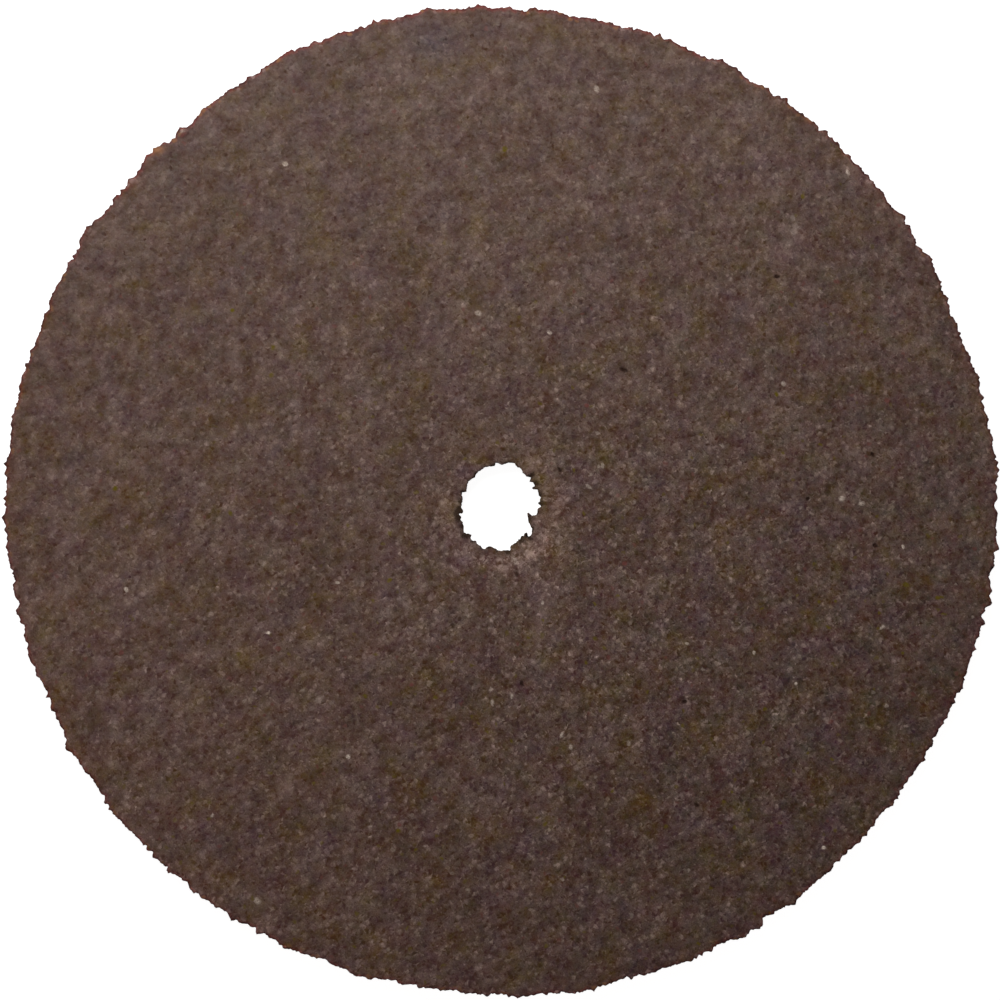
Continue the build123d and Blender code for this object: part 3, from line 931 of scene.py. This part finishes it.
    flake = t.math("MULTIPLY", t.attribute("flake"), t.math("MULTIPLY_ADD", uneven, 0.35, 0.65))
    colour = t.mix(flake, colour, t.vector("SCALE", (0.190, 0.141, 0.119), scale=t.math("MULTIPLY_ADD", light, 0.35, 1.0)))
    near = t.span(speck, 0.07, 0.22, 1.0, 0.0)
    pick = speck_chance[0]
    grainy = t.span(bold, 0.55, 1.25, 0.15, 1.0, False)
    white = t.math("MULTIPLY", t.math("MULTIPLY", near, grainy), t.math("GREATER_THAN", pick, 0.972))
    white = t.math("MULTIPLY_ADD", white, t.math("MULTIPLY_ADD", speck_chance[1], 0.20, 0.08), in_place("pale_grain"))
    crystal = t.math("MULTIPLY_ADD", dust, 0.9, t.math("MULTIPLY_ADD", clumps, 0.5, 1.0))
    colour = t.mix(white, colour, t.vector("SCALE", (0.575, 0.480, 0.400), scale=crystal))
    mustard = t.math("MULTIPLY", t.math("MULTIPLY", near, grainy), t.math("COMPARE", pick, 0.25, 0.042))
    mustard = t.math("MULTIPLY_ADD", mustard, t.math("MULTIPLY_ADD", speck_chance[1], 0.5, 0.35), in_place("yellow_grain"))
    colour = t.mix(mustard, colour, rgb(0.101, 0.074, 0.007))
    brick = t.math("MULTIPLY", near, t.math("COMPARE", pick, 0.35, 0.016))
    brick = t.math("MULTIPLY_ADD", brick, 0.55, in_place("red_grain"))
    colour = t.mix(brick, colour, rgb(0.112, 0.032, 0.025))
    colour = t.mix(in_place("pit"), colour, rgb(0.022, 0.011, 0.008))

    # reddish broken arris at the rim, with single orange, red and pinkish grains in it
    rim = t.attribute("rim_mm")
    rim_near = t.math("MULTIPLY_ADD", clumps, 0.12, rim)
    arris = t.math("MULTIPLY", t.span(rim_near, 0.0, 0.15, 1.0, 0.0), t.attribute("rim_red"))
    arris = t.math("MULTIPLY", arris, t.math("MULTIPLY_ADD", grain_chance[2], 1.5, 0.25))
    redder = t.vector("MULTIPLY_ADD", arris, (0.70, -0.16, -0.16), (1.0, 1.0, 1.0))
    redder = t.vector("MULTIPLY_ADD", t.span(rim_near, 0.12, 0.45, 1.0, 0.0), (0.0, -0.065, -0.060), redder)
    colour = t.vector("MULTIPLY", colour, redder)
    outermost = t.math("MULTIPLY", t.span(rim, 0.038, 0.068, 1.0, 0.0), t.attribute("top_arris"))
    outermost = t.math("MULTIPLY", outermost, t.math("MULTIPLY_ADD", grain_chance[2], -0.9, 1.42))
    colour = t.vector("MULTIPLY", colour, t.vector("MULTIPLY_ADD", outermost, (-0.28, -0.53, -0.51), (1.0, 1.0, 1.0)))
    rim_grain = t.math("MULTIPLY", t.span(grain, 0.25, 0.6, 1.0, 0.0), t.span(rim, 0.08, 0.17, 1.0, 0.0))
    orange = t.math("MULTIPLY", rim_grain, t.math("GREATER_THAN", grain_chance[1], 0.88))
    colour = t.mix(t.math("MULTIPLY", orange, t.attribute("rim_red")), colour, rgb(0.200, 0.088, 0.036))
    colour = t.mix(t.attribute("orange_grain"), colour, rgb(0.255, 0.112, 0.048))
    pink = t.math("MULTIPLY", rim_grain, t.math("LESS_THAN", grain_chance[1], 0.07))
    colour = t.mix(t.math("MULTIPLY", pink, 0.55), colour, rgb(0.270, 0.175, 0.155))

    # bruised, paler and pinker ground round the mouth of the hole, partly painted light: lightest towards the lower
    # right, where the worn dip faces the lamp
    mottle = t.math("MULTIPLY_ADD", light, 0.55, t.noise(mm, 5.5, 3.0, 0.7, (7, 3, 0), 33))
    bruise = t.math("MULTIPLY", t.attribute("bruise"), t.span(mottle, -0.28, 0.42, 0.0, 1.0, False))
    colour = t.vector("MULTIPLY_ADD", bruise, (0.088, 0.067, 0.060), colour)
    colour = t.vector("MULTIPLY_ADD", t.attribute("bruise"), (0.034, 0.0185, 0.013), colour)
    # painted shade in the crumbled edge of the hole and on its wall: a soft darkening, then near-black patches
    colour = t.vector("SCALE", colour, scale=t.math("MULTIPLY_ADD", t.attribute("soot"), -0.28, 1.0))
    soot = t.math("MULTIPLY_ADD", dust, 1.3, t.math("MULTIPLY_ADD", clumps, 1.3, t.attribute("soot")))
    soot = t.math("MULTIPLY", t.span(soot, 0.40, 0.70, 0.0, 0.80), t.span(t.attribute("soot"), 0.02, 0.16))
    colour = t.mix(soot, colour, rgb(0.025, 0.014, 0.008))

    # finer relief than the mesh holds
    height = t.math("MULTIPLY_ADD", small, 0.45, grain)
    height = t.math("MULTIPLY_ADD", dust, -0.5, height)
    bump = t.new("ShaderNodeBump", invert=True)
    bump.inputs["Strength"].default_value = 0.5
    bump.inputs["Distance"].default_value = 0.000016
    t.put(height, bump.inputs["Height"])

    matt = t.math("MAXIMUM", soot, t.math("MAXIMUM", t.attribute("pit"), mustard), clamp=True)
    surface = t.new("ShaderNodeBsdfPrincipled")
    t.put(colour, surface.inputs["Base Color"])
    t.put(t.math("MULTIPLY_ADD", small_chance[1], 0.25, 0.66), surface.inputs["Roughness"])
    t.put(t.math("MULTIPLY_ADD", matt, -0.33, 0.35), surface.inputs["Specular IOR Level"])
    t.put(bump.outputs[0], surface.inputs["Normal"])
    out = t.new("ShaderNodeOutputMaterial")
    t.put(surface.outputs[0], out.inputs["Surface"])
    return material


disc.data.materials.append(bonded_grain())
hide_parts("abrasive_disc")
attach(disc, "root")

# ---------------------------------------------------------------------------------------
# Stage: pale floor, soft light from above and a little to the left, camera looking
# straight down
# ---------------------------------------------------------------------------------------
floor_mesh = bpy.data.meshes.new("floor")
floor_mesh.from_pydata([(-2, -2, 0), (2, -2, 0), (2, 2, 0), (-2, 2, 0)], [], [(0, 1, 2, 3)])
floor = bpy.data.objects.new("floor", floor_mesh)
bpy.context.scene.collection.objects.link(floor)
floor_material = bpy.data.materials.new("pale_floor")
ft = Tree(floor_material)
paper = ft.new("ShaderNodeBsdfPrincipled")
paper.inputs["Base Color"].default_value = rgb(0.35, 0.35, 0.35)
paper.inputs["Roughness"].default_value = 0.95
paper.inputs["Specular IOR Level"].default_value = 0.05
paper.inputs["Emission Color"].default_value = rgb(1, 1, 1)
paper.inputs["Emission Strength"].default_value = 0.94
ft.put(paper.outputs[0], ft.new("ShaderNodeOutputMaterial").inputs["Surface"])
floor_mesh.materials.append(floor_material)
floor_material.cycles.emission_sampling = "NONE"  # a glow to be seen, not a lamp

# a pale room: bright low down, where the walls are, and dimmer overhead
world = bpy.data.worlds.new("soft_room")
bpy.context.scene.world = world
wt = Tree(world)
up = wt.new("ShaderNodeSeparateXYZ")
wt.put(wt.new("ShaderNodeTexCoord").outputs["Generated"], up.inputs[0])
sky = wt.new("ShaderNodeBackground")
wt.put(wt.mix(wt.span(up.outputs[2], 0.17, 0.34), rgb(1.0, 1.0, 1.0), rgb(0.186, 0.168, 0.163)), sky.inputs["Color"])
sky.inputs["Strength"].default_value = 1.0
wt.put(sky.outputs[0], wt.new("ShaderNodeOutputWorld").inputs["Surface"])


def panel(name, place, target, size, power, colour=(1, 1, 1)):
    data = bpy.data.lights.new(name, "AREA")
    data.shape = "DISK"
    data.size = size
    data.energy = power
    data.color = colour
    lamp = bpy.data.objects.new(name, data)
    lamp.location = place
    lamp.rotation_mode = "QUATERNION"
    lamp.rotation_quaternion = (Vector(target) - Vector(place)).to_track_quat("-Z", "Y")
    lamp.visible_camera = False
    bpy.context.scene.collection.objects.link(lamp)
    return lamp


key_bearing = math.radians(110)
panel(
    "key",
    (0.0235 * math.cos(key_bearing), 0.0235 * math.sin(key_bearing), 0.0300),
    (0, 0, 0),
    0.026,
    0.0125,
)

camera_data = bpy.data.cameras.new("camera")
camera_data.lens = 85.0
camera_data.sensor_width = 36.0
camera_data.clip_start = 0.001
camera_data.clip_end = 10.0
camera = bpy.data.objects.new("camera", camera_data)
bpy.context.scene.collection.objects.link(camera)
distance = 0.0243 / 36.0 * 85.0
camera.location = (0.0000059, 0.0001533, 0.0006 + distance)
camera.rotation_euler = (0, 0, 0)
bpy.context.scene.camera = camera

view = bpy.context.scene.view_settings
view.view_transform = "Standard"
view.look = "None"
view.exposure = 0.0
view.gamma = 1.0
